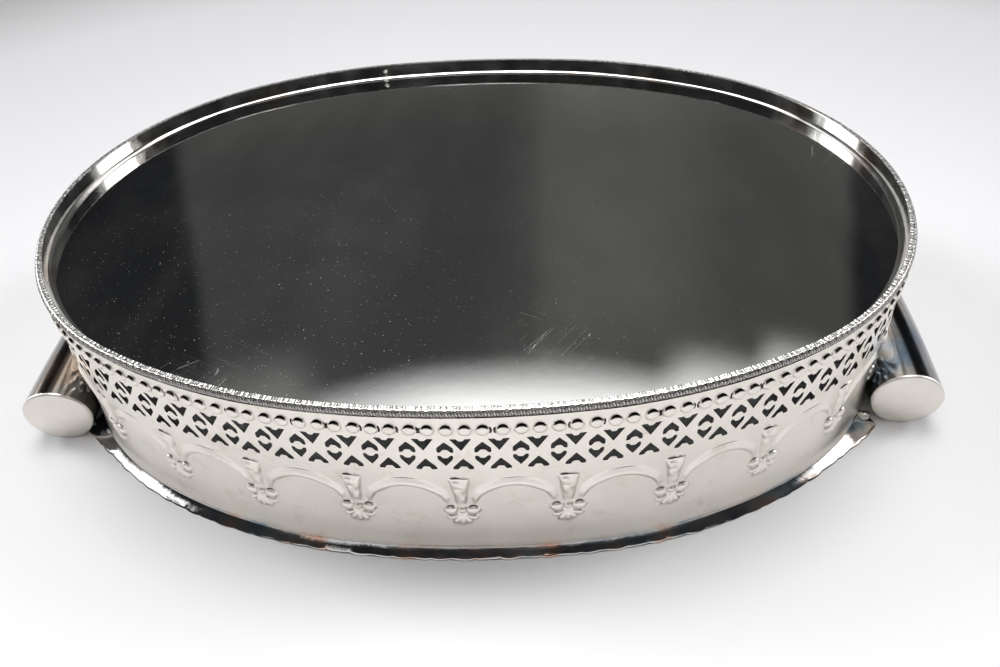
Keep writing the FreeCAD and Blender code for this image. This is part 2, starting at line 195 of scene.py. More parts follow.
def ramp(tree, source, stops):
    """Colours, or single values, spread over the source from 0 to 1."""
    n = tree.nodes.new("ShaderNodeValToRGB")
    while len(n.color_ramp.elements) < len(stops):
        n.color_ramp.elements.new(0.5)
    for element, (at, colour) in zip(n.color_ramp.elements, stops):
        element.position = at
        element.color = (*colour, 1) if len(colour) == 3 else (colour[0],) * 3 + (1,)
    tree.links.new(source, n.inputs[0])
    return n.outputs[0]


def place(tree, scale=(1, 1, 1), rotation=(0, 0, 0)):
    """The piece's own coordinates, stretched and turned."""
    coords = tree.nodes.new("ShaderNodeTexCoord").outputs["Object"]
    mapping = {"Vector": coords, "Scale": scale, "Rotation": rotation}
    return node(tree, "ShaderNodeMapping", mapping).outputs[0]


def noise(tree, vector, scale, detail=2.0, rough=0.5):
    return node(
        tree,
        "ShaderNodeTexNoise",
        {"Vector": vector, "Scale": scale, "Detail": detail, "Roughness": rough},
    ).outputs["Fac"]


def mix(tree, factor, a, b):
    """Colour a turned into colour b; the Mix node's colours are its inputs 6 and 7."""
    n = tree.nodes.new("ShaderNodeMix")
    n.data_type = "RGBA"
    for index, value in ((0, factor), (6, a), (7, b)):
        if isinstance(value, bpy.types.NodeSocket):
            tree.links.new(value, n.inputs[index])
        elif index == 0:
            n.inputs[index].default_value = value
        else:
            n.inputs[index].default_value = (*value, 1)
    return n.outputs[2]


def maths(tree, operation, a, b=0.0, c=0.5):
    n = tree.nodes.new("ShaderNodeMath")
    n.operation = operation
    for index, value in ((0, a), (1, b), (2, c)):
        if isinstance(value, bpy.types.NodeSocket):
            tree.links.new(value, n.inputs[index])
        else:
            n.inputs[index].default_value = value
    return n.outputs[0]


def bump(tree, bsdf, height, strength, distance):
    """Fine surface grain only; every shape is in the mesh."""
    n = node(tree, "ShaderNodeBump", {"Height": height, "Strength": strength, "Distance": distance})
    tree.links.new(n.outputs[0], bsdf.inputs["Normal"])


SCRATCH_STRETCH, SCRATCH_RARITY = 0.05, 0.70


def scratches(tree, angle, scale, width, breaks):
    """Fine straight marks: thin cell edges of a stretched cell pattern, broken up."""
    turning = {"Vector": place(tree), "Angle": angle}
    turned = node(tree, "ShaderNodeVectorRotate", turning, rotation_type="Z_AXIS").outputs[0]
    stretching = {"Vector": turned, "Scale": (scale * SCRATCH_STRETCH, scale, scale)}
    stretched = node(tree, "ShaderNodeMapping", stretching).outputs[0]
    pattern = {"Vector": stretched, "Scale": 1.0}
    cells = node(tree, "ShaderNodeTexVoronoi", pattern, feature="DISTANCE_TO_EDGE")
    line = maths(tree, "LESS_THAN", cells.outputs["Distance"], width)
    keep = maths(tree, "GREATER_THAN", noise(tree, place(tree), breaks, 1.0), SCRATCH_RARITY)
    return maths(tree, "MULTIPLY", line, keep)


def specks(tree, scale, size, share):
    """Dust: small round spots in some of the cells."""
    n = node(tree, "ShaderNodeTexVoronoi", {"Vector": place(tree), "Scale": scale})
    spot = maths(tree, "LESS_THAN", n.outputs["Distance"], size)
    chance = node(tree, "ShaderNodeSeparateColor", {"Color": n.outputs["Color"]}).outputs[0]
    return maths(tree, "MULTIPLY", spot, maths(tree, "LESS_THAN", chance, share))


DUSTY_PLACE = (-0.10, -0.08, 0.082)


def plate_silver():
    """Mirror plate with cloudy smudges, hairline scratches and dust, thickest at the front left."""
    m, t, bsdf = material("plate_silver")
    where = place(t)
    cloud = noise(t, where, 11.0, 5.0, 0.62)
    corner = node(t, "ShaderNodeVectorMath", {0: where, 1: DUSTY_PLACE}, operation="DISTANCE")
    near = ramp(t, corner.outputs["Value"], [(0.03, (1.0,)), (0.22, (0.35,))])
    one_way = scratches(t, 0.5, 210.0, 0.004, 13.0)
    other_way = scratches(t, 2.2, 170.0, 0.004, 11.0)
    hairs = maths(t, "MULTIPLY", maths(t, "MAXIMUM", one_way, other_way), 0.3)
    dust = maths(t, "MAXIMUM", specks(t, 520.0, 0.13, 0.05), specks(t, 1300.0, 0.2, 0.05))
    dust = maths(t, "MULTIPLY", maths(t, "MULTIPLY", dust, near), 0.55)
    mess = maths(t, "MAXIMUM", hairs, dust)
    colour = ramp(t, cloud, [(0.3, (0.585, 0.59, 0.58)), (0.7, (0.66, 0.655, 0.635))])
    t.links.new(mix(t, mess, colour, (0.74, 0.73, 0.70)), bsdf.inputs["Base Color"])
    rough = ramp(t, cloud, [(0.35, (0.03,)), (0.55, (0.045,)), (0.75, (0.085,))])
    rough = maths(t, "ADD", rough, maths(t, "MULTIPLY", mess, 0.55))
    t.links.new(rough, bsdf.inputs["Roughness"])
    wiped = noise(t, place(t, (1, 0.3, 1), (0, 0, 0.12)), 16.0, 6.0, 0.6)
    blotch = noise(t, where, 24.0, 5.0, 0.6)
    streaks = ramp(t, wiped, [(0.36, (0.0,)), (0.72, (1.0,))])
    haze = maths(t, "MULTIPLY", streaks, ramp(t, blotch, [(0.3, (0.3,)), (0.7, (1.0,))]))
    film = maths(t, "MULTIPLY_ADD", haze, -0.035, 1.0)
    metal = maths(t, "SUBTRACT", film, maths(t, "MULTIPLY", mess, 0.35))
    t.links.new(metal, bsdf.inputs["Metallic"])
    bump(t, bsdf, noise(t, where, 38.0, 3.0, 0.55), 0.03, 0.0006)
    return m


POLISHED = (0.72, 0.71, 0.69)


def mirror_silver():
    """Polished silver with faint brown tarnish in patches."""
    m, t, bsdf = material("mirror_silver")
    where = place(t)
    cloud = noise(t, where, 35.0, 4.0, 0.6)
    dull, bright = (tuple(c * share for c in POLISHED) for share in (0.82, 1.1))
    base = ramp(t, cloud, [(0.25, dull), (0.75, bright)])
    brown = ramp(t, noise(t, where, 30.0, 5.0, 0.65), [(0.52, (0.0,)), (0.66, (0.55,))])
    t.links.new(mix(t, brown, base, (0.50, 0.36, 0.25)), bsdf.inputs["Base Color"])
    rough = ramp(t, noise(t, where, 80.0, 3.0), [(0.3, (0.07,)), (0.8, (0.2,))])
    t.links.new(rough, bsdf.inputs["Roughness"])
    bump(t, bsdf, noise(t, where, 160.0, 3.0), 0.06, 0.0005)
    return m


def satin_silver():
    """Warm satin metal, cloudy, a little darker and browner in patches, and darker in the hollows:
    painted shade for the shadow under the relief, partly patina.
    """
    m, t, bsdf = material("satin_silver")
    where = place(t)
    cloud = noise(t, where, 22.0, 5.0, 0.6)
    base = ramp(t, cloud, [(0.25, (0.80, 0.755, 0.695)), (0.75, (0.89, 0.845, 0.78))])
    grime = ramp(t, noise(t, where, 75.0, 5.0, 0.7), [(0.56, (0.0,)), (0.72, (0.4,))])
    worn = mix(t, grime, base, (0.56, 0.47, 0.38))
    pointed = t.nodes.new("ShaderNodeNewGeometry").outputs["Pointiness"]
    # Darker in the hollows: painted shade for the shadow under the swags and flowers, partly patina.
    hollow = ramp(t, pointed, [(0.42, (0.75,)), (0.487, (0.0,))])
    t.links.new(mix(t, hollow, worn, (0.26, 0.235, 0.20)), bsdf.inputs["Base Color"])
    t.links.new(ramp(t, cloud, [(0.2, (0.28,)), (0.8, (0.40,))]), bsdf.inputs["Roughness"])
    bump(t, bsdf, noise(t, where, 900.0, 3.0), 0.05, 0.0003)
    return m


def inside_painted_shade():
    """The back of the stamped sheet and the edges of its holes, nearly black: painted shade for the
    tray's dark inside seen through the piercings.
    """
    m, t, bsdf = material("inside_painted_shade")
    where = place(t)
    cloud = noise(t, where, 30.0, 5.0, 0.65)
    base = ramp(t, cloud, [(0.3, (0.10, 0.093, 0.08)), (0.7, (0.16, 0.15, 0.135))])
    t.links.new(base, bsdf.inputs["Base Color"])
    t.links.new(ramp(t, cloud, [(0.3, (0.35,)), (0.8, (0.5,))]), bsdf.inputs["Roughness"])
    bump(t, bsdf, noise(t, where, 700.0, 3.0), 0.1, 0.0003)
    return m


def rope_silver():
    """Bright worn crests over dark grime in the hollows; the up-facing top is bright partly from wear
    and partly as painted highlight of the overhead light.
    """
    m, t, bsdf = material("rope_silver")
    where = place(t)
    geometry = t.nodes.new("ShaderNodeNewGeometry")
    crest = ramp(t, geometry.outputs["Pointiness"], [(0.455, (0.0,)), (0.535, (1.0,))])
    broken = noise(t, where, 700.0, 3.0)
    crest = maths(t, "MULTIPLY", crest, ramp(t, broken, [(0.3, (0.6,)), (0.6, (1.0,))]))
    upward = node(t, "ShaderNodeSeparateXYZ", {0: geometry.outputs["Normal"]}).outputs["Z"]
    # Up-facing surfaces brighter: painted highlight for the overhead light, together with wear on the
    # flattened top.
    lit_worn_top = ramp(t, upward, [(0.86, (0.0,)), (0.97, (1.0,))])
    lit_worn_land = maths(t, "MULTIPLY", lit_worn_top, ramp(t, broken, [(0.3, (0.75,)), (0.45, (1.0,))]))
    crest = maths(t, "MAXIMUM", crest, lit_worn_land)
    t.links.new(mix(t, crest, (0.11, 0.10, 0.09), (0.90, 0.88, 0.85)), bsdf.inputs["Base Color"])
    t.links.new(ramp(t, broken, [(0.2, (0.16,)), (0.8, (0.34,))]), bsdf.inputs["Roughness"])
    bump(t, bsdf, noise(t, where, 1500.0, 2.0), 0.35, 0.0004)
    return m


def border_silver():
    """Polished strip with orange and blue tarnish in patches."""
    m, t, bsdf = material("border_silver")
    where = place(t)
    patch = noise(t, where, 26.0, 5.0, 0.65)
    hue = noise(t, where, 60.0, 2.0)
    blue, grey, orange = (0.16, 0.27, 0.33), (0.60, 0.57, 0.54), (0.66, 0.33, 0.19)
    tint = ramp(t, hue, [(0.34, blue), (0.48, grey), (0.62, orange)])
    amount = ramp(t, patch, [(0.42, (0.0,)), (0.58, (0.85,))])
    t.links.new(mix(t, amount, (0.66, 0.65, 0.64), tint), bsdf.inputs["Base Color"])
    t.links.new(ramp(t, amount, [(0.0, (1.0,)), (0.9, (0.94,))]), bsdf.inputs["Metallic"])
    t.links.new(ramp(t, patch, [(0.3, (0.06,)), (0.8, (0.18,))]), bsdf.inputs["Roughness"])
    bump(t, bsdf, noise(t, where, 220.0, 3.0), 0.12, 0.0006)
    return m


def tube_silver():
    """Dull grey plating with blue and brown tarnish and a few pale scratches."""
    m, t, bsdf = material("tube_silver")
    where = place(t)
    patch = noise(t, where, 24.0, 5.0, 0.65)
    hue = noise(t, where, 42.0, 3.0)
    blue, grey, brown = (0.10, 0.14, 0.19), (0.20, 0.19, 0.18), (0.25, 0.18, 0.13)
    tint = ramp(t, hue, [(0.36, blue), (0.5, grey), (0.62, brown)])
    amount = ramp(t, patch, [(0.38, (0.25,)), (0.6, (0.95,))])
    base = mix(t, amount, (0.29, 0.285, 0.27), tint)
    marks = maths(t, "MULTIPLY", scratches(t, 0.35, 260.0, 0.008, 20.0), 0.5)
    t.links.new(mix(t, marks, base, (0.7, 0.68, 0.65)), bsdf.inputs["Base Color"])
    t.links.new(ramp(t, patch, [(0.3, (0.08,)), (0.8, (0.2,))]), bsdf.inputs["Roughness"])
    bump(t, bsdf, noise(t, where, 110.0, 3.0), 0.08, 0.0006)
    return m


def cap_silver():
    """Cloudy satin discs, a little warm."""
    m, t, bsdf = material("cap_silver")
    where = place(t)
    cloud = noise(t, where, 55.0, 5.0, 0.65)
    base = ramp(t, cloud, [(0.3, (0.76, 0.72, 0.66)), (0.7, (0.85, 0.81, 0.76))])
    t.links.new(base, bsdf.inputs["Base Color"])
    t.links.new(ramp(t, cloud, [(0.3, (0.3,)), (0.8, (0.42,))]), bsdf.inputs["Roughness"])
    bump(t, bsdf, noise(t, where, 500.0, 3.0), 0.06, 0.0003)
    return m


PLATE = plate_silver()
MIRROR = mirror_silver()
SATIN = satin_silver()
ROPE = rope_silver()
BORDER = border_silver()
INSIDE_SHADE = inside_painted_shade()
TUBE = tube_silver()
CAP = cap_silver()

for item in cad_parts.values():
    item.data.materials.clear()
    item.data.materials.append(MIRROR)

# ---------------------------------------------------------------- gallery

# The wall's foot, top and lean, and the sheet's thickness; its hollow and its rolled foot.
WALL_FOOT, WALL_TOP, FLARE, SHEET = 2.0, 87.1, 3.6, 0.5
HOLLOW, HOLLOW_TALL, FOOT_ROLL, FOOT_TALL = 0.7, 60, 0.7, 5

# A module is three lattice units, one swag and one flower. Along it, a lattice unit's middle
# is at 0, the flower's at DROP and the module's end at SEAM_X. SHIFT is how far 0 lies from
# the middle of the strip.
PITCH, SHIFT, DROP = 15.319, 4.75, -2.47
MODULE = 3 * PITCH
SEAM_X = 4.43

# Heights between which the relief lies, the bead row's foot, and the steps of the mesh.
RELIEF_LOW, RELIEF_HIGH, BEAD_FLOOR = 20.0, 52.5, 76.1
FINE, COARSE = 0.5, 1.6
ZONES = (
    (WALL_FOOT, RELIEF_LOW, 2.0),
    (RELIEF_LOW, RELIEF_HIGH, FINE),
    (RELIEF_HIGH, BEAD_FLOOR, 1.4),
)

# Beads: height, radius, spacing and how far they stand out; their slots' height and half.
BEAD_Z, BEAD_R, BEAD_PITCH, BEAD_HIGH = 80.5, 2.95, 7.42, 1.35
SLOT_Z, SLOT_HALF = BEAD_Z + 1.0, 2.35


def wall_out(z):
    """Outward offset of the wall's outer face, a little hollow, and rolled out at the foot."""
    rise = np.clip((z - WALL_FOOT) / HOLLOW_TALL, 0, 1)
    hollow = HOLLOW * np.sin(np.pi * rise) ** 2
    foot = FOOT_ROLL * np.exp(-(((z - WALL_FOOT) / FOOT_TALL) ** 2))
    return FLARE * (WALL_TOP - z) / (WALL_TOP - WALL_FOOT) - hollow + foot


def rounded(points, radius=0.45, steps=3):
    """The closed outline with its corners rounded."""
    result = []
    n = len(points)
    for i in range(n):
        before, here, after = (np.array(points[(i + k) % n], float) for k in (-1, 0, 1))
        a, b = before - here, after - here
        la, lb = np.hypot(*a), np.hypot(*b)
        cut = min(radius, 0.45 * la, 0.45 * lb)
        start, finish = here + a / la * cut, here + b / lb * cut
        for t in np.linspace(0, 1, steps + 1):
            result.append((1 - t) ** 2 * start + 2 * t * (1 - t) * here + t**2 * finish)
    return np.array(result)


def crescent(x, z, half, rise, thick, steps=8, lean=0.0):
    """A thin arched slit."""
    t = np.linspace(-1, 1, steps)
    top = np.column_stack([x + half * t, z + rise * (1 - t**2) + lean * t])
    low = np.column_stack([x + half * t, z + (rise - thick) * (1 - t**2) + lean * t])[1:-1]
    return np.vstack([top, low[::-1]])


VEE = [(-4.2, 75.3), (-1.5, 75.3), (-0.9, 74.1), (0.9, 74.1), (1.5, 75.3), (4.2, 75.3), (0, 68.7)]
ARROW = [
    (-3.8, 57.1), (-1.7, 57.0), (-0.8, 58.7), (1.4, 58.7), (2.3, 57.0),
    (4.5, 57.1), (4.3, 58.5), (0.4, 63.5), (-3.6, 58.5),
]
CHEVRON_UP = [
    (-2.2, 67.5), (-1.0, 67.4), (0.1, 69.0), (1.9, 69.0), (3.0, 67.4),
    (4.2, 67.5), (4.1, 70.0), (1.0, 73.4), (-2.1, 70.0),
]
CHEVRON_DOWN = [
    (-2.2, 65.2), (-1.0, 65.4), (-0.1, 64.0), (1.8, 64.0), (2.7, 65.4),
    (3.9, 65.2), (3.7, 63.2), (0.8, 59.3), (-2.0, 63.2),
]
STRETCH_X, STRETCH_Z = 1.07, 1.06
PETAL_X, PETAL_Z = 5.0, 31.1


def module_holes():
    """Openings of one module: three lattice units, and slits at the flower and the swag."""
    holes = []
    for k in range(3):
        x = -k * PITCH
        between = x - PITCH / 2
        for shape, at in ((VEE, x), (ARROW, x), (CHEVRON_UP, between), (CHEVRON_DOWN, between)):
            middle = np.mean(shape, axis=0)
            grown = (np.array(shape) - middle) * (STRETCH_X, STRETCH_Z) + middle
            holes.append(rounded(grown + (at, 0)))
    holes.append(crescent(DROP, 50.5, 4.0, 0.9, 0.42, lean=-0.15))
    holes.append(crescent(DROP - PETAL_X, PETAL_Z, 1.9, 1.0, 0.35))
    holes.append(crescent(DROP + PETAL_X, PETAL_Z, 2.1, 1.1, 0.45))
    holes.append(crescent(DROP - MODULE / 2, 49.8, 7.0, 1.3, 0.3, 12))
    return holes


def inside(points, loop):
    """Which points lie inside a closed loop."""
    x, y = points[:, 0], points[:, 1]
    result = np.zeros(len(points), bool)
    for (x0, y0), (x1, y1) in zip(loop, np.roll(loop, -1, axis=0)):
        crosses = (y0 > y) != (y1 > y)
        with np.errstate(divide="ignore", invalid="ignore"):
            result ^= crosses & (x < (x1 - x0) * (y - y0) / (y1 - y0) + x0)
    return result


def gap_to(points, loop):
    """Distance from points to a closed loop's edges."""
    best = np.full(len(points), 1e9)
    for a, b in zip(loop, np.roll(loop, -1, axis=0)):
        d = b - a
        t = np.clip(((points - a) @ d) / max(d @ d, 1e-12), 0, 1)
        best = np.minimum(best, np.hypot(*(points - a - t[:, None] * d).T))
    return best


def sheet_mesh(border, holes, grid, spacing):
    """Triangles of a flat sheet with holes. grid are inside points with their spacing."""
    keep = np.ones(len(grid), bool)
    for loop in holes:
        lo, hi = loop.min(0) - 1.5, loop.max(0) + 1.5
        near = np.where(np.all((grid > lo) & (grid < hi), axis=1) & keep)[0]
        if len(near):
            bad = inside(grid[near], loop) | (gap_to(grid[near], loop) < 0.4 * spacing[near])
            keep[near[bad]] = False
    points, edges = [], []
    for loop in [border] + holes:
        start = len(points)
        points += [tuple(p) for p in loop]
        edges += [(start + i, start + (i + 1) % len(loop)) for i in range(len(loop))]
    points += [tuple(p) for p in grid[keep]]
    verts, _, faces, _, _, _ = delaunay_2d_cdt([Vector(p) for p in points], edges, [], 0, 1e-6)
    verts = np.array([tuple(v) for v in verts])
    faces = np.array([f for f in faces if len(f) == 3])
    centres = verts[faces].mean(1)
    good = inside(centres, border)
    for loop in holes:
        lo, hi = loop.min(0), loop.max(0)
        near = np.where(np.all((centres > lo) & (centres < hi), axis=1))[0]
        good[near[inside(centres[near], loop)]] = False
    return verts, faces[good]


def levels(low, high, step):
    count = max(1, round((high - low) / step))
    return np.linspace(low, high, count + 1)


# The swag's middle line, left half and mirrored: place, height and half-width.
ARCH = np.array(
    [
        (-16.9, 34.6, 0.8),
        (-16.5, 37.4, 1.7),
        (-14.7, 40.9, 2.3),
        (-11.4, 43.9, 2.6),
        (-7.5, 46.3, 2.8),
        (-3.8, 47.7, 2.95),
        (0, 48.2, 3.0),
    ]
)
ARCH = np.vstack([ARCH, ARCH[-2::-1] * (-1, 1, 1)])


def along_path(x, z, path):
    """Nearest point of a polyline: distance, side and half-width there."""
    best = np.full(len(x), 1e9)
    side = np.zeros(len(x))
    half = np.ones(len(x))
    for (ax, az, aw), (bx, bz, bw) in zip(path, path[1:]):
        dx, dz = bx - ax, bz - az
        t = np.clip(((x - ax) * dx + (z - az) * dz) / (dx * dx + dz * dz), 0, 1)
        ex, ez = x - ax - t * dx, z - az - t * dz
        d = np.hypot(ex, ez)
        closer = d < best
        best = np.where(closer, d, best)
        side = np.where(closer, np.sign(dx * ez - dz * ex), side)
        half = np.where(closer, aw + (bw - aw) * t, half)
    return best, side, half


FLOWER_REACH = 8.6


def stamped(x, z):
    """Whether there is fine relief at a height, for many places along the strip."""
    found = np.zeros(len(x), bool)
    for k in (-1, 0):
        found |= np.abs(x - DROP - k * MODULE) < FLOWER_REACH
    for k in (-2, -1, 0):
        d, _, half = along_path(x - DROP - (k + 0.5) * MODULE, np.full(len(x), z), ARCH)
        found |= d < 1.4 * half + 0.4
    return found


def sheet_border(foot, head, side):
    """Points round a flat strip: along its foot, up, back along its head and down."""
    return np.vstack(
        [
            np.column_stack([foot[:-1], np.full(len(foot) - 1, side[0])]),
            np.column_stack([np.full(len(side) - 1, foot[-1]), side[:-1]]),
            np.column_stack([head[:0:-1], np.full(len(head) - 1, side[-1])]),
            np.column_stack([np.full(len(side) - 1, foot[0]), side[:0:-1]]),
        ]
    )


def module_sheet():
    """Flat triangles of one module, below the bead row."""
    x0, x1 = SEAM_X - MODULE, SEAM_X
    side = np.unique(np.concatenate([levels(*zone) for zone in ZONES]))
    border = sheet_border(np.linspace(x0, x1, 19), np.linspace(x0, x1, 37), side)
    grid, spacing = [], []
    for low, high, step in ZONES + ((RELIEF_LOW, RELIEF_HIGH, COARSE),):
        rows = np.arange(low + step * 0.5, high, step * 0.88)
        for k, z in enumerate(rows):
            xs = np.arange(x0 + step * (0.55 + 0.5 * (k % 2)), x1 - step * 0.4, step)
            if low == RELIEF_LOW:
                xs = xs[stamped(xs, z) == (step == FINE)]
            grid.append(np.column_stack([xs, np.full(len(xs), z)]))
            spacing.append(np.full(len(xs), step))
    return sheet_mesh(border, module_holes(), np.vstack(grid), np.concatenate(spacing))


def dome(x, z, cx, cz, rx, rz, height, sharp):
    """An oval bump around (cx, cz); the smaller sharp is, the steeper its edge."""
    q = 1 - ((x - cx) / rx) ** 2 - ((z - cz) / rz) ** 2
    return height * np.clip(q, 0, 1) ** sharp


def swag_relief(x, z):
    """Tapered arch: it rises gently from above and drops off sharply below."""
    d, side, half = along_path(x, z + 0.3, ARCH)
    above = np.clip(d / (1.35 * half), 0, 1)
    below = np.clip(d / (0.72 * half), 0, 1)
    rise = np.where(side > 0, 0.5 + 0.5 * np.cos(np.pi * above), np.sqrt(1 - below**2))
    return (0.25 + 0.37 * half) * rise


BELL_TOP, BELL_TALL, BELL_FOOT = 50.6, 16.5, 33.5
LEAVES = (
    # middle, height, half-width, half-height
    (-1.7, 47.4, 2.3, 2.4),
    (1.7, 45.4, 2.1, 2.9),
    (-0.7, 41.9, 2.0, 2.7),
    (0.5, 37.8, 1.6, 2.8),
)
ROSETTE_Z = 29.2


def flower_relief(x, z):
    """Bellflower with overlapping leaves, over a seven-petalled rosette."""
    t = np.clip((BELL_TOP - z) / BELL_TALL, 0, 1)
    half = 4.5 - 2.4 * t**0.8
    q = np.clip(np.abs(x) / half, 0, 1)
    edge = 0.5 + 0.5 * np.clip((BELL_TOP - z) / 2, 0, 1)
    body = (1.25 - 0.25 * t) * np.clip(1 - q**4, 0, 1) ** 0.5 * edge
    body = np.where((z < BELL_TOP + 0.8 - 0.055 * x**2) & (z > BELL_FOOT), body, 0)
    for cx, cz, rx, rz in LEAVES:
        body += dome(x, z, cx, cz, rx, rz, 0.55, 0.4) * (body > 0)
    level = ROSETTE_Z
    rosette = dome(x, z, 0, level - 3.6, 5.2, 4.4, 0.7, 0.7)
    for degrees in (212, 243, 270, 297, 328):
        a = math.radians(degrees)
        cx, cz = 4.6 * math.cos(a), level - 1.6 + 4.9 * math.sin(a)
        u = (x - cx) * math.cos(a) + (z - cz) * math.sin(a)
        v = -(x - cx) * math.sin(a) + (z - cz) * math.cos(a)
        width = 1.5 + 0.16 * u
        petal = 1.55 * np.clip(1 - (u / 3.4) ** 2 - (v / width) ** 2, 0, 1) ** 0.42
        rosette = np.maximum(rosette, petal)
    for way, reach in ((-1, 2.9), (1, 3.1)):
        side = dome(x, z, 4.9 * way, level - 0.1, reach, 2.7, 1.6, 0.42)
        lip = PETAL_Z + 0.65 * (1 - ((x - PETAL_X * way) / 2.1) ** 2)
        side = np.where((z > lip + 0.08) & (np.abs(x - PETAL_X * way) < 2.15), 0.0, side)
        rosette = np.where(side > rosette, side, rosette)
    rosette = np.maximum(rosette, dome(x, z, 0, level, 1.7, 1.7, 1.35, 0.5))
    return np.maximum(body, rosette)


def module_relief(x, z):
    """Relief of one module, with what reaches in from its neighbours."""
    relief = np.zeros(len(x))
    for k in (-2, -1, 0, 1):
        relief = np.maximum(relief, swag_relief(x - DROP - (k + 0.5) * MODULE, z))
        relief = np.maximum(relief, flower_relief(x - DROP - k * MODULE, z))
    return relief


# Rings of mesh points on a bead: radius and number, about BEAD_STEP apart.
BEAD_RINGS = ((0.8, 6), (1.6, 12), (2.2, 18), (2.6, 26), (2.9, 30), (3.1, 30), (3.45, 20))
BEAD_STEP = 0.42


def bead_sheet(low, high):
    """The bead row's strip: one pierced dome after another, none quite alike."""
    step = PITCH / 12
    first = math.floor((low - SEAM_X) / step)
    last = math.ceil((high - SEAM_X) / step)
    foot = SEAM_X + np.arange(first, last + 1) * step
    x0, x1 = foot[0], foot[-1]
    head = np.linspace(x0, x1, int((x1 - x0) / 2.2))
    border = sheet_border(foot, head, levels(BEAD_FLOOR, WALL_TOP, 1.6))
    count = int((x1 - x0) / BEAD_PITCH)
    index = np.arange(-count // 2, count // 2 + 1)
    centres = -0.6 - SHIFT + index * BEAD_PITCH + 0.22 * np.sin(index * 2.4) + 0.15 * np.sin(index * 5.1)
    centres = centres[(centres > low + 4) & (centres < high - 4)]
    holes, grid, spacing = [], [], []
    for k, x in enumerate(centres):
        holes.append(crescent(x, SLOT_Z, SLOT_HALF, 1.95, 0.8, 11))
        if math.sin(k * 1.3) + math.sin(k * 0.37) > -0.1:
            way = 1 if math.sin(k * 2.9) > -0.3 else -1
            a = np.radians(np.linspace(-28, 34, 5))
            outer = np.column_stack([np.cos(a), np.sin(a)]) * (3.75 + 0.1 * math.sin(k))
            inner = np.column_stack([np.cos(a), np.sin(a)]) * 3.1
            slit = np.vstack([outer, inner[::-1]]) * (way, 1) + (x, BEAD_Z - 0.2)
            holes.append(slit[::way])
        for radius, number in BEAD_RINGS:
            a = np.linspace(0, 2 * np.pi, number, endpoint=False) + radius
            grid.append(np.column_stack([x + radius * np.cos(a), BEAD_Z + radius * np.sin(a)]))
            spacing.append(np.full(number, BEAD_STEP))
    for z in (BEAD_Z + 4.4, BEAD_Z + 5.5):
        xs = np.arange(x0 + 1.5, x1 - 1, 2.0)
        grid.append(np.column_stack([xs, np.full(len(xs), z)]))
        spacing.append(np.full(len(xs), 2.0))
    grid, spacing = np.vstack(grid), np.concatenate(spacing)
    along, tall = grid.T
    fits = (along > x0 + 0.6) & (along < x1 - 0.6)
    fits &= (tall > BEAD_FLOOR + 0.35) & (tall < WALL_TOP - 0.4)
    verts, faces = sheet_mesh(border, holes, grid[fits], spacing[fits])
    x, z = verts.T
    relief = np.zeros(len(verts))
    for cx in centres:
        near = np.abs(x - cx) < 3.3
        q = np.hypot(x[near] - cx, z[near] - BEAD_Z) / BEAD_R
        raised = BEAD_HIGH * np.sqrt(np.clip(1 - q**3, 0, 1))
        lip = SLOT_Z + 1.15 * (1 - ((x[near] - cx) / SLOT_HALF) ** 2)
        relief[near] = np.maximum(relief[near], np.where(z[near] > lip + 0.05, 0.0, raised))
    return verts, faces, relief


def gallery_flat(half):
    """Outline length, height and relief of the whole strip, with its triangles."""
    verts, faces = module_sheet()
    relief = module_relief(verts[:, 0], verts[:, 1])
    every, tris = [], []
    first = math.floor((-half - SHIFT) / MODULE)
    last = math.ceil((half - SHIFT) / MODULE) + 1
    total = 0
    for k in range(first, last + 1):
        every.append(np.column_stack([verts[:, 0] + k * MODULE, verts[:, 1], relief]))
        tris.append(faces + total)
        total += len(verts)
    bead_verts, bead_faces, bead_relief = bead_sheet(-half - SHIFT - 8, half - SHIFT + 8)
    every.append(np.column_stack([bead_verts, bead_relief]))
    tris.append(bead_faces + total)
    flat, tris = np.vstack(every), np.vstack(tris)
    flat[:, 0] += SHIFT
    builder = bmesh.new()
    made = [builder.verts.new(p) for p in flat]
    for a, b, c in tris.tolist():
        builder.faces.new((made[a], made[b], made[c]))
    bmesh.ops.remove_doubles(builder, verts=builder.verts[:], dist=0.02)
    for at, way in ((-half, -1), (half, 1)):
        geometry = builder.verts[:] + builder.edges[:] + builder.faces[:]
        bmesh.ops.bisect_plane(
            builder, geom=geometry, plane_co=(at, 0, 0), plane_no=(way, 0, 0), clear_outer=True
        )
    bmesh.ops.triangulate(builder, faces=builder.faces[:])
    builder.verts.index_update()
    flat = np.array([tuple(v.co) for v in builder.verts])
    tris = np.array([[v.index for v in f.verts] for f in builder.faces])
    builder.free()
    a, b, c = flat[tris[:, 0], :2], flat[tris[:, 1], :2], flat[tris[:, 2], :2]
    turn = (b[:, 0] - a[:, 0]) * (c[:, 1] - a[:, 1]) - (b[:, 1] - a[:, 1]) * (c[:, 0] - a[:, 0])
    tris[turn < 0] = tris[turn < 0][:, ::-1]
    return flat, tris


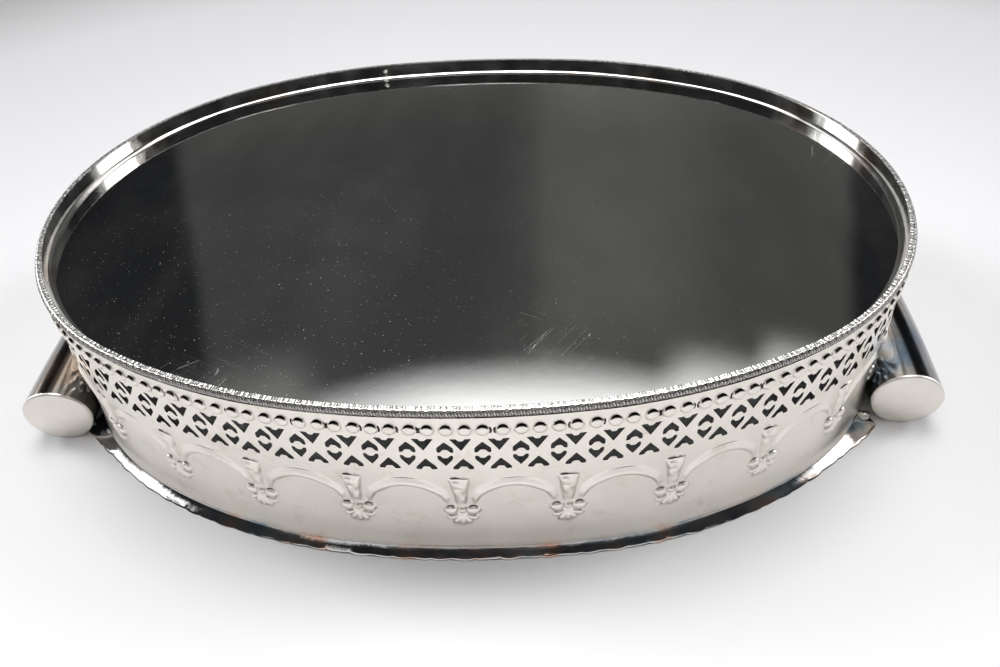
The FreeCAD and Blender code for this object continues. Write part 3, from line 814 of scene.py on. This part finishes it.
def gallery(name, middle, flat, tris):
    """The strip bent round the oval and given the sheet's thickness."""
    x, z, relief = flat.T
    uneven = 0.12 * wobble(x * 0.05, z * 0.06, 1.0) + 0.03 * wobble(x * 0.4, z * 0.35, 2.0)
    out = wall_out(z) + relief + uneven
    outer = bend(middle + x, out, z)
    inner = bend(middle + x, out - SHEET, z)
    n = len(outer)
    edges = np.vstack([tris[:, [0, 1]], tris[:, [1, 2]], tris[:, [2, 0]]])
    keys = np.sort(edges, axis=1)
    _, index, counts = np.unique(keys, axis=0, return_index=True, return_counts=True)
    rim = edges[index[counts == 1]]
    faces = tris.tolist() + (tris[:, ::-1] + n).tolist()
    faces += [[b, a, a + n, b + n] for a, b in rim.tolist()]
    obj = add_mesh(name, np.vstack([outer, inner]), faces, SATIN, 50)
    # The back and the hole edges take nearly black metal: painted shade for the tray's shaded inside.
    obj.data.materials.append(INSIDE_SHADE)
    painted_shade_faces = np.zeros(len(obj.data.polygons), np.int32)
    painted_shade_faces[len(tris) :] = 1
    obj.data.polygons.foreach_set("material_index", painted_shade_faces)


SEAM_GAP = 0.3
flat, tris = gallery_flat(ROUND / 4 - SEAM_GAP)
gallery("gallery_front", ROUND * 0.75, flat, tris)
gallery("gallery_rear", ROUND * 0.25, flat, tris)

# ---------------------------------------------------------------- rope, rim, plate

# The rope's radius, how far in from the outline and how high its middle is, and its twist;
# then how far above the middle it is worn flat, and the offset of its smooth inner side.
ROPE_R, ROPE_IN, ROPE_Z, ROPE_PITCH = 2.45, 1.4, 89.75, 3.6
ROPE_FLAT, ROPE_TRIM = 1.85, -2.36


def rope_profile(s):
    """Worn flat on top and smooth inside; outside, arched brows over fine slanted teeth."""
    t = np.linspace(0, 2 * np.pi, 26, endpoint=False)
    s, t = s[:, None], t[None, :]
    slip = 0.3 * np.sin(s * 0.21) + 0.25 * np.sin(s * 0.057 + 1)
    turn = 2 * np.pi * (s + slip) / ROPE_PITCH
    outside = np.clip((np.cos(t) - 0.25) * 3, 0, 1)
    brow = 0.34 * np.exp(-(((t - 0.66 - 0.08 * np.cos(turn)) / 0.11) ** 2))
    teeth = 0.34 * np.clip(0.3 + np.sin(3 * turn + 4 * t), 0, 1) * (0.6 + 0.4 * np.cos(turn + 1))
    below = 1 / (1 + np.exp((np.sin(t) - 0.55) * 16))
    r = ROPE_R - outside * (brow + below * teeth)
    ragged = 0.09 * np.sin(s * 1.9 + 2 * np.sin(s * 0.7)) + 0.06 * np.sin(s * 5.1)
    out = np.maximum(-ROPE_IN + r * np.cos(t), ROPE_TRIM + 0.3 * ragged)
    out = out + 0.06 * np.sin(s * 0.045)
    worn = ROPE_FLAT + ragged * np.clip(-np.cos(t) + 0.6, 0, 1)
    z = ROPE_Z + np.minimum(r * np.sin(t), worn)
    return out, z + 0.15 * np.sin(s * 0.03 + 2)


swept_ring("rope_border", 4200, rope_profile, ROPE, None)

# The plate's top, thickness, edge and dish; the band's inner face, its foot and how far it
# laps the plate; the cove's radius, and its top and foot in degrees.
PLATE_Z, PLATE_THICK, PLATE_EDGE, PLATE_DISH = 82.9, 1.2, -2.5, 0.35
BAND_IN, BAND_FOOT, LAP = -2.62, 79.0, 0.02
COVE_R, COVE_TOP, COVE_FOOT = 7.0, 48, 74


def band_profile(s):
    """Upright strip with a softened top edge and a cove down to the plate."""
    a = np.radians(np.linspace(COVE_TOP, COVE_FOOT, 8))
    cove_out = BAND_IN - COVE_R * (math.cos(math.radians(COVE_TOP)) - np.cos(a))
    cove_z = PLATE_Z + COVE_R * (math.sin(math.radians(COVE_FOOT)) - np.sin(a)) + LAP
    top_out, top_z = [-1.0, -1.6, -2.4, -2.6, BAND_IN], [87.3, 91.2, 91.3, 91.1, 85.0]
    out = np.concatenate([[-1.0], top_out, cove_out, [PLATE_EDGE, PLATE_EDGE]])
    z = np.concatenate([[BAND_FOOT], top_z, cove_z, [PLATE_Z - LAP, BAND_FOOT]])
    ripple = 0.06 * wobble(s * 0.12, s * 0.03)[:, None] * (out[None, :] < -1.5)
    return out[None, :] + ripple, np.repeat(z[None, :], len(s), axis=0)


swept_ring("rim_band", 720, band_profile, MIRROR, 40)


def make_plate():
    """Flat sheet, very slightly dished and uneven, so that reflections bend."""
    rings, spokes = 46, 300
    s = np.linspace(0, ROUND, spokes, endpoint=False)
    edge = bend(s, np.full(spokes, PLATE_EDGE), np.zeros(spokes))[:, :2]
    verts, faces = [], []
    for side in (0, 1):
        for k in np.linspace(1, 0, rings, endpoint=False):
            xy = edge * k
            uneven = 0.10 * wobble(xy[:, 0] * 0.018, xy[:, 1] * 0.02, 3.0) * (1 - k**6)
            dish = PLATE_DISH * (1 - k**2) + uneven
            z = np.full(spokes, PLATE_Z - PLATE_THICK * side) - dish
            verts.append(np.column_stack([xy, z]))
        verts.append(np.array([[0, 0, PLATE_Z - PLATE_THICK * side - PLATE_DISH]]))
    block = rings * spokes + 1
    for side in (0, 1):
        for r in range(rings - 1):
            for i in range(spokes):
                row = side * block + r * spokes
                a, b = row + i, row + (i + 1) % spokes
                quad = [a, b, b + spokes, a + spokes]
                faces.append(quad if side == 0 else quad[::-1])
        last = side * block + (rings - 1) * spokes
        for i in range(spokes):
            tri = [last + i, last + (i + 1) % spokes, side * block + rings * spokes]
            faces.append(tri if side == 0 else tri[::-1])
    for i in range(spokes):
        j = (i + 1) % spokes
        faces.append([j, i, i + block, j + block])
    add_mesh("base_plate", np.vstack(verts), faces, PLATE, 60)


make_plate()

# ---------------------------------------------------------------- border strips

# How near the tray's middle line a strip's ends come, the offset and height where its slope
# starts, the fillet against the wall, and the width with what the ends have more.
BORDER_END = 85.0
STRIP_IN, STRIP_TOP = 4.8, 2.6
FILLET_OUT, FILLET_UP, FILLET_R = 5.05, 3.4, 0.85
STRIP_WIDTH, END_FLARE, FLARE_RUN = 4.2, 5.0, 24.0
RIPPLE, RIPPLE_PITCH = 0.42, 9.6


def border_strip(name, middle):
    """Narrow sloping strip with a rippled edge, wider toward its rounded ends."""
    s = middle + np.linspace(-ROUND / 4, ROUND / 4, 1700)
    p, n = oval(s)
    reach = np.abs(p[:, 1] + n[:, 1] * 6.0)
    s = s[reach > BORDER_END]
    run = np.minimum(s - s[0], s[-1] - s)

    def profile(s):
        tip = np.sqrt(np.clip(1 - (1 - np.clip(run / 4.5, 0, 1)) ** 2, 0.02, 1))
        wave = np.abs(np.sin(np.pi * (s + 1.2 * np.sin(s * 0.11)) / RIPPLE_PITCH)) ** 0.6
        ripple = RIPPLE * wave * (0.8 + 0.35 * np.sin(s * 0.37)) * tip
        flare = END_FLARE * np.exp(-((run / FLARE_RUN) ** 2))
        width = (STRIP_WIDTH + 0.2 * np.sin(s * 0.05) + flare) * tip
        level = 0 * s
        a = np.radians([0, 22, 44, 66])
        sag = 0.10 * wobble(s * 0.08, s * 0.01)
        steps = [(3.4 + level, 2.0 + level), (3.9 + level, 4.4 + level)]
        for k in a:
            fillet_out = FILLET_OUT - FILLET_R * math.cos(k)
            fillet_up = FILLET_UP - FILLET_R * math.sin(k)
            steps.append((fillet_out + level, fillet_up + level))
        steps += [
            (STRIP_IN + 0.45 * width, STRIP_TOP - 0.9 + sag),
            (STRIP_IN + 0.88 * width, STRIP_TOP - 1.78 + 0.5 * sag),
            (STRIP_IN + 0.93 * width + 0.4 * ripple, 0.70 + level),
            (STRIP_IN + width + ripple, 0.32 + level),
            (STRIP_IN + 0.1 + width + ripple, 0.2 + level),
            (STRIP_IN + width + ripple, 0.05 + level),
            (STRIP_IN + 0.8 * width, 0.1 + level),
            (STRIP_IN - 0.2 + 0.3 * width, 1.0 + level),
        ]
        return np.stack([p[0] for p in steps], axis=1), np.stack([p[1] for p in steps], axis=1)

    swept_strip(name, s, profile, BORDER, 60)


border_strip("border_front", ROUND * 0.75)
border_strip("border_rear", ROUND * 0.25)

# ---------------------------------------------------------------- handles

# A tube's radius, wall, half-length and bow, and the thickness of a cap.
TUBE_R, TUBE_WALL, TUBE_HALF, TUBE_BOW, CAP_THICK = 16.9, 1.2, 94.0, 5.0, 1.6
BOW_R = (TUBE_HALF**2 + TUBE_BOW**2) / (2 * TUBE_BOW)
BOW_A = math.asin(TUBE_HALF / BOW_R)
# Each handle: its way along X, how far out its middle lies, and its shift along Y.
SIDES = {"left": (-1, 215.7, -4.5), "right": (1, 221.3, 4.5)}


def wall_block():
    """Solid filling the gallery to its outer face, used to trim the tubes."""
    count, clearance = 360, 0.1
    s = np.linspace(0, ROUND, count, endpoint=False)
    rows = []
    for z in (-3.0, 2.0, 12.0, 25.0, 45.0):
        out = wall_out(np.array([z]))[0] + clearance
        rows.append(bend(s, np.full(count, out), np.full(count, z)))
    faces = []
    for r in range(len(rows) - 1):
        for i in range(count):
            j = (i + 1) % count
            faces.append([r * count + i, r * count + j, (r + 1) * count + j, (r + 1) * count + i])
    faces.append(list(range(count))[::-1])
    faces.append([(len(rows) - 1) * count + i for i in range(count)])
    mesh = bpy.data.meshes.new("wall_block")
    mesh.from_pydata((np.vstack(rows) * MM).tolist(), [], faces)
    obj = bpy.data.objects.new("wall_block", mesh)
    scene.collection.objects.link(obj)
    return obj


def bowed(way, reach, slide, turn, radial, up):
    """Point on a handle: angle along the bow, distance out from its axis, height."""
    r = BOW_R + radial
    x = way * (reach + TUBE_BOW - BOW_R + r * np.cos(turn))
    return np.stack([x, slide + r * np.sin(turn), up], axis=-1)


def make_tube(word, way, reach, slide, block):
    """Hollow bowed tube, trimmed where it meets the gallery."""
    rows, cols = 80, 96
    turn = np.linspace(-BOW_A, BOW_A, rows)[:, None]
    a = np.linspace(0, 2 * np.pi, cols, endpoint=False)[None, :]
    dent = 0.05 * wobble(turn * 60, a * 2.0, way)
    faces, verts = [], []
    for r in (TUBE_R + dent, TUBE_R - TUBE_WALL + 0 * dent):
        skin = bowed(way, reach, slide, turn, r * np.cos(a), TUBE_R + r * np.sin(a))
        verts.append(skin.reshape(-1, 3))
    base = rows * cols
    for i in range(rows - 1):
        for j in range(cols):
            k = (j + 1) % cols
            quad = [i * cols + j, (i + 1) * cols + j, (i + 1) * cols + k, i * cols + k]
            faces.append(quad[::-1] if way > 0 else quad)
            faces.append([q + base for q in (quad if way > 0 else quad[::-1])])
    for i, flip in ((0, False), (rows - 1, True)):
        for j in range(cols):
            k = (j + 1) % cols
            quad = [i * cols + j, i * cols + k, base + i * cols + k, base + i * cols + j]
            faces.append(quad if flip == (way > 0) else quad[::-1])
    name = "handle_tube_" + word
    obj = add_mesh(name, np.vstack(verts), faces, TUBE, 35)
    turn_outward(obj)
    modifier = obj.modifiers.new("cope", "BOOLEAN")
    modifier.operation = "DIFFERENCE"
    modifier.object = block
    modifier.solver = "EXACT"
    depsgraph = bpy.context.evaluated_depsgraph_get()
    cut = bpy.data.meshes.new_from_object(obj.evaluated_get(depsgraph))
    obj.modifiers.clear()
    obj.data = cut
    cut.shade_smooth()
    cut.set_sharp_from_angle(angle=math.radians(35))


# A cap from its middle out: radius, and thickness there more than CAP_THICK.
CAP_RINGS = (
    (5.0, 0.22),
    (10.0, 0.14),
    (14.5, 0.0),
    (16.3, -0.15),
    (16.85, -0.6),
    (TUBE_R, -CAP_THICK),
)
CAP_CROWN = 0.25


def make_cap(word, place_name, way, reach, slide, end):
    """Disc with a softened edge, lying square across the tube's end."""
    cols = 96
    a = np.linspace(0, 2 * np.pi, cols, endpoint=False)
    verts, faces = [], []
    for radius, more in CAP_RINGS:
        turn = np.full(cols, end * (BOW_A + (CAP_THICK + more) / BOW_R))
        r = radius + 0.08 * np.sin(3 * a + way)
        verts.append(bowed(way, reach, slide, turn, r * np.cos(a), TUBE_R + r * np.sin(a)))
    turn = np.array([end * (BOW_A + (CAP_THICK + CAP_CROWN) / BOW_R)])
    verts.append(bowed(way, reach, slide, turn, np.zeros(1), np.full(1, TUBE_R)))
    verts = np.vstack(verts)
    hub = len(verts) - 1
    for j in range(cols):
        k = (j + 1) % cols
        faces.append([hub, j, k])
        for i in range(len(CAP_RINGS) - 1):
            faces.append([i * cols + j, (i + 1) * cols + j, (i + 1) * cols + k, i * cols + k])
    faces.append([(len(CAP_RINGS) - 1) * cols + j for j in range(cols)][::-1])
    name = f"handle_cap_{word}_{place_name}"
    obj = add_mesh(name, verts, faces, CAP, 35)
    turn_outward(obj)
    obj.data.shade_smooth()
    obj.data.set_sharp_from_angle(angle=math.radians(50))


# Lumps of solder at the front strip's ends and in the rim's corner: middle and half-sizes.
LUMPS = (
    ("solder_left", (-209.5, -90.5, 2.4), (2.4, 1.8, 1.3)),
    ("solder_right", (204.5, -88.5, 3.4), (2.8, 2.6, 2.0)),
    ("solder_rim", (-67.5, 147.6, 84.6), (1.7, 1.2, 1.1)),
)


def solder(name, centre, size):
    """A small uneven lump of solder left at a joint."""
    lump = bmesh.new()
    bmesh.ops.create_icosphere(lump, subdivisions=4, radius=1.0)
    for v in lump.verts:
        x, y, z = v.co
        grow = 1 + 0.16 * math.sin(3 * x + 2 * y + centre[0]) + 0.1 * math.sin(7 * z + 5 * x)
        v.co = [c + p * grow * r for c, p, r in zip(centre, (x, y, z), size)]
    mesh = bpy.data.meshes.new(name)
    lump.to_mesh(mesh)
    lump.free()
    mesh.transform(Matrix.Scale(MM, 4))
    mesh.shade_smooth()
    mesh.materials.append(CAP)
    obj = bpy.data.objects.new(name, mesh)
    scene.collection.objects.link(obj)
    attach(obj, "root")


for name, centre, size in LUMPS:
    solder(name, centre, size)
block = wall_block()
for word, (way, reach, slide) in SIDES.items():
    make_tube(word, way, reach, slide, block)
    make_cap(word, "front", way, reach, slide, -1)
    make_cap(word, "rear", way, reach, slide, 1)
bpy.data.objects.remove(block)

# ---------------------------------------------------------------- studio

# Place the table's tone is measured from, in metres, and its tones at distances from there: painted
# shade, darker away from the tray.
FLOOR_SHADE_MIDDLE = (0.0, -0.16, 0)
FLOOR_SHADE_TONES = [
    (0.26, (0.86, 0.86, 0.87)),
    (0.5, (0.74, 0.735, 0.75)),
    (0.8, (0.60, 0.60, 0.61)),
    (1.0, (0.36, 0.36, 0.365)),
]
FLOOR_CORNERS = [(-2.5, -2.0, 0), (2.5, -2.0, 0), (2.5, 1.6, 0), (-2.5, 1.6, 0)]


def table_white():
    """Matt white table with painted shade: greyer away from the tray."""
    m, t, bsdf = material("white_table")
    bsdf.inputs["Metallic"].default_value = 0.0
    bsdf.inputs["Roughness"].default_value = 0.55
    bsdf.inputs["Specular IOR Level"].default_value = 0.3
    away = node(t, "ShaderNodeVectorMath", {0: place(t), 1: FLOOR_SHADE_MIDDLE}, operation="DISTANCE")
    cloud = noise(t, place(t), 2.5, 1.0)
    # Darker with distance from the tray, with a little cloud: painted shade.
    uneven = maths(t, "MULTIPLY_ADD", cloud, 0.06, away.outputs["Value"])
    t.links.new(ramp(t, uneven, FLOOR_SHADE_TONES), bsdf.inputs["Base Color"])
    return m


def make_table():
    mesh = bpy.data.meshes.new("table_top")
    mesh.from_pydata(FLOOR_CORNERS, [], [(0, 1, 2, 3)])
    mesh.materials.append(table_white())
    floor = bpy.data.objects.new("table_top", mesh)
    scene.collection.objects.link(floor)


make_table()

# The room, as seen from the tray: soft-edged patches of light by compass angle from the
# back (positive to the right) and by height above the table, in degrees. A patch with some
# spread is wider the higher it is above SPREAD_FROM, and its colour is its brightness.
SPREAD_FROM = 30
ROOM = (
    # from, to, low, high, edge, spread, colour
    (-200, 200, -95, 13, 6, 0, (0.88, 0.88, 0.90)),
    (-200, 200, 13, 95, 6, 0, (0.014, 0.015, 0.017)),
    (-55, 55, 61, 83, 3, 0, (6.6, 6.6, 6.6)),
    (-200, 200, 83, 95, 3, 0, (6.6, 6.6, 6.6)),
    (-45, -24, 42, 61, 3, 0, (0.22, 0.22, 0.22)),
    (-24, 14, 46, 61, 2.5, 0, (1.75, 1.75, 1.77)),
    (14, 36, 44, 61, 2.5, 0, (1.35, 1.35, 1.35)),
    (22, 33, 41, 44, 1.5, 0, (0.6, 0.6, 0.6)),
    (-76, -58, 11, 45, 3, 0, (9.0, 9.0, 9.1)),
    (-96, -76, 31, 46, 3, 0, (2.2, 2.2, 2.2)),
    (58, 76, 12, 45, 3, 0, (8.4, 8.4, 8.4)),
    (76, 93, 31, 46, 3, 0, (2.2, 2.2, 2.2)),
    (-200, -130, 34, 60, 2.5, 0, (0.8, 0.8, 0.8)),
    (130, 200, 34, 60, 2.5, 0, (0.8, 0.8, 0.8)),
    (-29, 0, 21, 45, 0.8, 0.009, (0.048, 0.049, 0.046)),
    (0, 25, 21, 45, 0.8, 0.0135, (0.066, 0.066, 0.062)),
    (0, 13, 21, 43, 4, 0.0135, (0.045, 0.045, 0.042)),
    (-27, 23, 17, 25.5, 3.5, 0, (0.045, 0.043, 0.038)),
)


def make_room():
    world = bpy.data.worlds.new("room")
    world.use_nodes = True
    tree = world.node_tree
    generated = tree.nodes.new("ShaderNodeTexCoord").outputs["Generated"]
    x, y, z = node(tree, "ShaderNodeSeparateXYZ", {0: generated}).outputs
    degree = 180 / math.pi
    around = maths(tree, "MULTIPLY", maths(tree, "ARCTAN2", x, y), degree)
    height = maths(tree, "MULTIPLY", maths(tree, "ARCSINE", z), degree)

    def step(value, at, edge):
        rise = {"Value": value, "From Min": at - edge, "From Max": at + edge}
        n = node(tree, "ShaderNodeMapRange", rise, interpolation_type="SMOOTHSTEP")
        return n.outputs[0]

    total = None
    for start, stop, low, high, edge, spread, colour in ROOM:
        lean = maths(tree, "MULTIPLY", height, spread)
        shrink = maths(tree, "SUBTRACT", 1 + SPREAD_FROM * spread, lean)
        angle = maths(tree, "MULTIPLY", around, shrink)
        across = maths(tree, "SUBTRACT", step(angle, start, edge), step(angle, stop, edge))
        upright = maths(tree, "SUBTRACT", step(height, low, edge), step(height, high, edge))
        amount = maths(tree, "MULTIPLY", across, upright)
        scaled = {0: colour, "Scale": amount}
        patch = node(tree, "ShaderNodeVectorMath", scaled, operation="SCALE").outputs[0]
        if total is None:
            total = patch
        else:
            total = node(tree, "ShaderNodeVectorMath", {0: total, 1: patch}).outputs[0]
    tree.links.new(total, tree.nodes["Background"].inputs["Color"])
    scene.world = world


make_room()
scene.view_settings.view_transform = "Standard"

# ---------------------------------------------------------------- camera

# Lens and sensor in millimetres, distance to the place aimed at, and angles in radians.
LENS, SENSOR, DISTANCE = 27.342, 36.0, 396.936
ELEVATION, AZIMUTH, ROLL = 0.744, 0.06899, -0.05584
AIM = Vector((16.024, -63.57, 40.0))


def make_camera():
    lens = bpy.data.cameras.new("camera")
    lens.sensor_width = SENSOR
    lens.lens = LENS
    lens.clip_start, lens.clip_end = 0.02, 20.0
    flat_reach = math.cos(ELEVATION)
    toward = (math.sin(AZIMUTH) * flat_reach, -math.cos(AZIMUTH) * flat_reach, math.sin(ELEVATION))
    back = Vector(toward)
    right = (-back).cross(Vector((0, 0, 1))).normalized()
    up = right.cross(-back)
    right_rolled = math.cos(ROLL) * right + math.sin(ROLL) * up
    up_rolled = -math.sin(ROLL) * right + math.cos(ROLL) * up
    turn = Matrix((right_rolled, up_rolled, back)).transposed()
    camera = bpy.data.objects.new("camera", lens)
    camera.matrix_world = Matrix.Translation((AIM + back * DISTANCE) * MM) @ turn.to_4x4()
    scene.collection.objects.link(camera)
    scene.camera = camera


make_camera()
